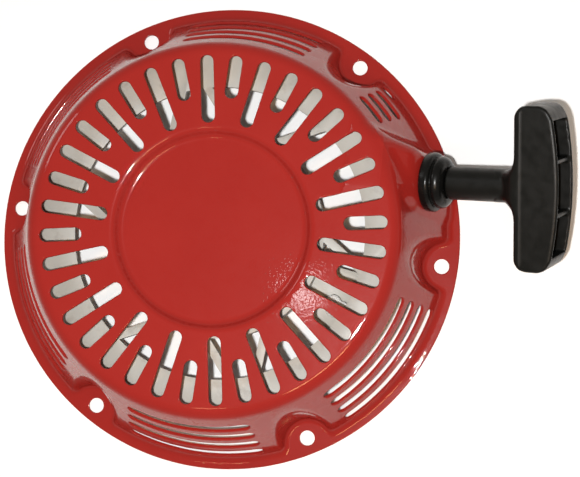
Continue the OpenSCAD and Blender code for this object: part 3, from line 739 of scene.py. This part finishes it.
def swept(name, path, radius, material, sides=20, relief=0.0):
    """A cord or wire along a path, with rounded ends. Its UV is the length in metres and the turn."""
    ahead = np.gradient(path, axis=0)
    ahead /= np.linalg.norm(ahead, axis=1, keepdims=True)
    far = np.concatenate([[0], np.cumsum(np.linalg.norm(np.diff(path, axis=0), axis=1))])
    across = np.cross(ahead[0], (0.3, 0.2, 1.0))
    rings = []
    turn = np.linspace(0, 2 * math.pi, sides, endpoint=False)
    for i, (point, along) in enumerate(zip(path, ahead)):
        across = across - along * (across @ along)
        across /= np.linalg.norm(across)
        over = np.cross(along, across)
        spin = far[i] * RELIEF_TWIST
        bumps = relief * np.cos(PLAIT_STRANDS * turn + spin) * np.cos(PLAIT_STRANDS * turn - spin)
        grow = radius * (1 + bumps)
        rings.append(point + grow[:, None] * (np.cos(turn)[:, None] * across + np.sin(turn)[:, None] * over))
    for end, sign in ((0, -1), (-1, 1)):
        for inset, out in CAP_RINGS:
            ring = path[end] + (rings[end] - path[end]) * inset + sign * ahead[end] * radius * out
            rings.insert(0 if end == 0 else len(rings), ring)
    far = np.pad(far, len(CAP_RINGS), mode="edge")
    count = len(rings)
    faces = []
    for i in range(count - 1):
        a, b = i * sides, (i + 1) * sides
        faces += [(a + k, a + (k + 1) % sides, b + (k + 1) % sides, b + k) for k in range(sides)]
    faces += [tuple(range(sides - 1, -1, -1)), tuple((count - 1) * sides + k for k in range(sides))]
    piece = new_object(name, np.concatenate(rings), faces, material)
    face_out(piece.data)
    layer = piece.data.uv_layers.new(name="along_cord")
    for face in piece.data.polygons:
        corners = [(v // sides, v % sides) for v in face.vertices]
        wraps = {k for _, k in corners} >= {0, sides - 1}
        for loop, (ring, k) in zip(face.loop_indices, corners):
            layer.data[loop].uv = (far[ring] * MM, (k or (sides if wraps else 0)) / sides)
    return piece


def arc_path(radius, radius_to, az_from, az_to, z_from, z_to, step):
    """Points round the Z axis, by azimuth in degrees, easing from one radius and height to another."""
    t = np.linspace(0, 1, max(2, int(abs(az_to - az_from) / step) + 1))
    ease = t * t * (3 - 2 * t)
    r = radius + (radius_to - radius) * ease
    az = np.radians(az_from + (az_to - az_from) * t)
    return np.stack([r * np.cos(az), r * np.sin(az), z_from + (z_to - z_from) * ease], -1)


KNOT_AZ = 336.0          # where the knot sits on the reel
KNOT_R = 65.5
KNOT_OPEN = 0.35         # radians of the knot's loop left open at its ends
CORD_STEP, KNOT_STEP, TAIL_STEP, COIL_STEP = 1.6, 0.7, 1.2, 0.5


def looped_knot(size, centre, toward, up):
    """A cord's path through an overhand knot, and out of it along `toward`."""
    toward, up = np.asarray(toward, float), np.asarray(up, float)
    side = np.cross(up, toward)
    t = np.linspace(math.pi / 2 + KNOT_OPEN, math.pi / 2 + 2 * math.pi - KNOT_OPEN, 60)
    lobes = [np.sin(t) + 2 * np.sin(2 * t), np.cos(t) - 2 * np.cos(2 * t), -np.sin(3 * t)]
    lobes = np.stack(lobes, -1) * size
    return np.asarray(centre) + lobes[:, :1] * toward + lobes[:, 1:2] * side + lobes[:, 2:] * up


def wound_rope(material):
    """The turns on the reel: two side by side in the first layer, and one over them."""
    (inner, outer), low, high = LAYER_R, LANE_LOW_Z, ROPE_Z
    stretches = ((inner, inner, 330, 6, high, high),
                 (inner, inner, 0, -24, high, low),
                 (inner, inner, -30, -324, low, low),
                 (inner, outer, -330, -354, low, low),
                 (outer, outer, -360, -676, low, low))
    path = np.concatenate([arc_path(*stretch, 6.0) for stretch in stretches])
    return swept("rope_turns", smooth_path(path, CORD_STEP), ROPE_R - 0.04, material, 20, 0.03)


def outgoing_rope(material):
    """The rope's end that leaves the reel for the outlet."""
    outer = LAYER_R[1]
    mouth = PULL_START + (BUSH_IN - 3.5) * PULL_DIR
    reach = math.hypot(mouth[0], mouth[1])
    leave = math.degrees(math.atan2(mouth[1], mouth[0]) + math.acos(outer / reach))
    wrap = arc_path(outer, outer, leave + 94, leave, ROPE_Z, ROPE_Z, 5)
    straight = wrap[-1] + np.linspace(0.25, 1, 4)[:, None] * (mouth - wrap[-1])
    path = np.concatenate([wrap, straight, [mouth + 1.6 * PULL_DIR]])
    return swept("rope_to_outlet", smooth_path(path, CORD_STEP), ROPE_R - 0.04, material, 20, 0.03)


def reel_stopper(material):
    """The knot that rests on the reel's shelf."""
    az = math.radians(KNOT_AZ)
    out = np.array([math.cos(az), math.sin(az), 0])
    centre = out * KNOT_R + np.array([0, 0, ROPE_Z])
    path = looped_knot(1.12, centre, out, (0, 0, 1))
    return swept("stopper_knot", smooth_path(path, KNOT_STEP), 2.25, material, 16, 0.05)


def rope_tail(material):
    """The rope from that knot to the reel's wall."""
    az = math.radians(KNOT_AZ)
    out = np.array([math.cos(az), math.sin(az), 0])
    ends = np.stack([out * r + np.array([0, 0, ROPE_Z]) for r in (KNOT_R + 3, 70, 73, REEL_WALL_R)])
    return swept("stopper_tail", smooth_path(ends, TAIL_STEP), ROPE_R - 0.1, material, 20, 0.03)


def grip_stopper(material):
    """The knot inside the grip, sitting on its washer."""
    centre = from_pull(np.array([BAR_FLOOR + WASHER_T + 5.2, 0, 0]))
    path = looped_knot(1.2, centre, SIDE, PULL_DIR)
    return swept("grip_stopper", smooth_path(path, KNOT_STEP), 2.5, material, 16, 0.05)


def pulled_rope(material):
    """The rope from inside the case to the grip's knot."""
    s = np.linspace(BUSH_IN - 0.5, BAR_FLOOR + WASHER_T - 0.4, 150)
    path = from_pull(np.stack([s, 0 * s, 0 * s], -1))
    return swept("rope_in_outlet", path, ROPE_R - 0.05, material, 20)


LEG_POINTS = np.array([2.4, 5.0, 7.6])      # distances along a coil's leg


def coil(name, radius, wire, rise, az_from, turns, z, material, centre=(0, 0), legs=()):
    """A wire coil round +Z. Each leg runs straight out from one end of it."""
    az = np.radians(az_from + np.linspace(0, 360 * turns, int(24 * abs(turns)) + 1))
    path = np.stack([radius * np.cos(az), radius * np.sin(az), z + rise * np.linspace(0, 1, len(az))], -1)
    for end in legs:
        out = path[end] * (1, 1, 0) / radius
        leg = path[end] + LEG_POINTS[:, None] * out
        path = np.concatenate([leg[::-1], path]) if end == 0 else np.concatenate([path, leg])
    return swept(name, smooth_path(path + (*centre, 0), COIL_STEP), wire, material, 12)


def softened(node, radius, material):
    """The CAD node's own shape, with its flat faces cleaned up and its edges rounded."""
    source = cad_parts[node]
    shell = bmesh.new()
    shell.from_mesh(source.data)
    bmesh.ops.remove_doubles(shell, verts=shell.verts, dist=1e-6)
    bmesh.ops.dissolve_limit(shell, angle_limit=math.radians(0.5), verts=shell.verts, edges=shell.edges)
    crisp = [e for e in shell.edges if len(e.link_faces) == 2 and e.calc_face_angle() > math.radians(28)]
    bmesh.ops.bevel(shell, geom=crisp, offset=radius * MM, segments=2, profile=0.5, affect="EDGES",
                    clamp_overlap=True)
    mesh = bpy.data.meshes.new(node + "_softened")
    shell.to_mesh(mesh)
    shell.free()
    mesh.materials.clear()
    mesh.materials.append(material)
    mesh.shade_smooth()
    mesh.set_sharp_from_angle(angle=math.radians(35))
    piece = bpy.data.objects.new(node + "_softened", mesh)
    bpy.context.scene.collection.objects.link(piece)
    piece.matrix_world = source.matrix_world
    return piece


# ---- Floor and light ----
def add_floor(material):
    """A floor just below the part. It is wide, so that its edge stays far off in the other views."""
    size, low = 8.0, -0.0002
    mesh = bpy.data.meshes.new("floor")
    corners = [(-size, -size, low), (size, -size, low), (size, size, low), (-size, size, low)]
    mesh.from_pydata(corners, [], [(0, 1, 2, 3)])
    mesh.materials.append(material)
    floor = bpy.data.objects.new("floor", mesh)
    bpy.context.scene.collection.objects.link(floor)


camera = add_camera()
bpy.context.scene.view_settings.view_transform = "Standard"
add_world(0.28, 0.55)
add_light("key", camera, (-0.033, -0.02, 0.0), (0.014, 0.014), 4.4)
add_light("window", camera, (-0.9, 0.5, -0.1), (0.25, 0.25), 1.2)
add_light("glint", camera, (-0.233, 0.096, 0.558), (0.035, 0.035), 0.11)
add_light("warm_lamp_a", camera, (0.03, -0.2, 0.0), (0.17, 0.035), 0.85, (1.0, 0.58, 0.25))
add_light("warm_lamp_b", camera, (-0.21, -0.19, 0.0), (0.06, 0.012), 0.12, (1.0, 0.62, 0.3))
add_floor(studio_floor())

MATERIALS = {
    "red_paint": red_paint(),
    "grip_plastic": moulded_plastic("grip_plastic", (0.003, 0.0031, 0.0026), (0.005, 0.0052, 0.0045),
                                    rough=0.38, grain=0.5, scuffs=0.05),
    "bush_plastic": moulded_plastic("bush_plastic", (0.003, 0.003, 0.0028), (0.005, 0.005, 0.0048),
                                    rough=0.24, grain=0.2, scuffs=0.06),
    "guide_plastic": moulded_plastic("guide_plastic", (0.02, 0.02, 0.022), (0.035, 0.035, 0.04),
                                     rough=0.5, grain=0.7, scuffs=0.2),
    "reel_nylon": nylon(),
    "post_steel": metal("post_steel", (0.62, 0.63, 0.65), 0.3),
    "zinc_steel": metal("zinc_steel", (0.75, 0.75, 0.74), 0.28, tarnish=0.2),
    "spring_steel": metal("spring_steel", (0.33, 0.34, 0.36), 0.34, (600, 600, 30), 0.3, (0.12, 0.09, 0.07)),
    "pin_steel": metal("pin_steel", (0.7, 0.7, 0.71), 0.22),
    "pawl_steel": metal("pawl_steel", (0.42, 0.42, 0.44), 0.4, (300, 300, 60), 0.4),
    "wire_steel": metal("wire_steel", (0.6, 0.6, 0.62), 0.25),
    "bronze": metal("bronze", (0.62, 0.42, 0.2), 0.35, (200, 200, 200), 0.4, (0.22, 0.12, 0.05)),
    "rope_cord": rope_cord("rope_cord", on_pull_line=False),
    "rope_cord_pull": rope_cord("rope_cord_pull", on_pull_line=True),
}

settle(case_sheet(MATERIALS["red_paint"]), "case", "red_paint", "starter_case")
settle(moulded_grip(MATERIALS["grip_plastic"]), "handle", "grip_plastic", "grip")

LIP_R = BUSH_FLANGE_R    # the bush's widest ring, against the case
BUSH_PROFILE = ((THROAT_R + 3, BUSH_IN), (BUSH_R - 1, BUSH_IN), (BUSH_R - 0.05, BUSH_IN + 1),
                (BUSH_R - 0.05, 0), (LIP_R, 0), (LIP_R, 3.8), (LIP_R - 1, 4.8), (LIP_R - 2.2, 4.8),
                (LIP_R - 2.2, 5.5), (LIP_R - 1.7, 6), (LIP_R - 1.7, 7.4), (LIP_R - 2.4, 8.9),
                (LIP_R - 3.7, 9.9), (LIP_R - 5.4, BUSH_OUT), (THROAT_R + 2, BUSH_OUT),
                (THROAT_R + 0.8, BUSH_OUT - 0.8), (THROAT_R, BUSH_OUT - 3), (THROAT_R, BUSH_IN + 5),
                (THROAT_R + 1, BUSH_IN + 2))
bush = turned("ringed_bush", soften(BUSH_PROFILE, 0.9), MATERIALS["bush_plastic"])
settle(bush, "case", "bush_plastic", "rope_bush")

for build, body, node in ((wound_rope, "reel", "rope_wound"), (outgoing_rope, "case", "rope_run"),
                          (reel_stopper, "reel", "reel_knot"), (rope_tail, "reel", "reel_knot"),
                          (grip_stopper, "handle", "grip_knot")):
    settle(build(MATERIALS["rope_cord"]), body, "rope_cord", node)
pulled = pulled_rope(MATERIALS["rope_cord_pull"])
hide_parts("rope_pull")
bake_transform(pulled)

friction = coil("friction_coil", radius=8.5, wire=0.55, rise=1.2, az_from=0, turns=2, z=9.1,
                material=MATERIALS["wire_steel"])
settle(friction, "case", "wire_steel", "friction_spring")
for node, side, az_from in (("pawl_spring_a", 1, -80), ("pawl_spring_b", -1, 100)):
    spring = coil(node + "_coil", radius=4.6, wire=0.38, rise=1.8, az_from=az_from, turns=300 / 360 + 1,
                  z=14.95, material=MATERIALS["wire_steel"], centre=(PAWL_PIVOT_R * side, 0), legs=(0, -1))
    settle(spring, "reel", "wire_steel", node)

for node, body, slot, radius in (
        ("centre_post", "case", "post_steel", 0.4), ("bush_retainer", "case", "zinc_steel", 0.15),
        ("reel", "reel", "reel_nylon", 0.35), ("reel_bush", "reel", "bronze", 0.3),
        ("recoil_spring", "reel", "spring_steel", 0.12), ("grip_washer", "handle", "zinc_steel", 0.25),
        ("pawl_pins", "reel", "pin_steel", 0.3), ("pawl_a", "pawl_a", "pawl_steel", 0.35),
        ("pawl_b", "pawl_b", "pawl_steel", 0.35), ("ratchet_guide", "guide", "guide_plastic", 0.4),
        ("thrust_washer", "case", "zinc_steel", 0.15), ("set_screw", "case", "zinc_steel", 0.3)):
    settle(softened(node, radius, MATERIALS[slot]), body, slot, node)
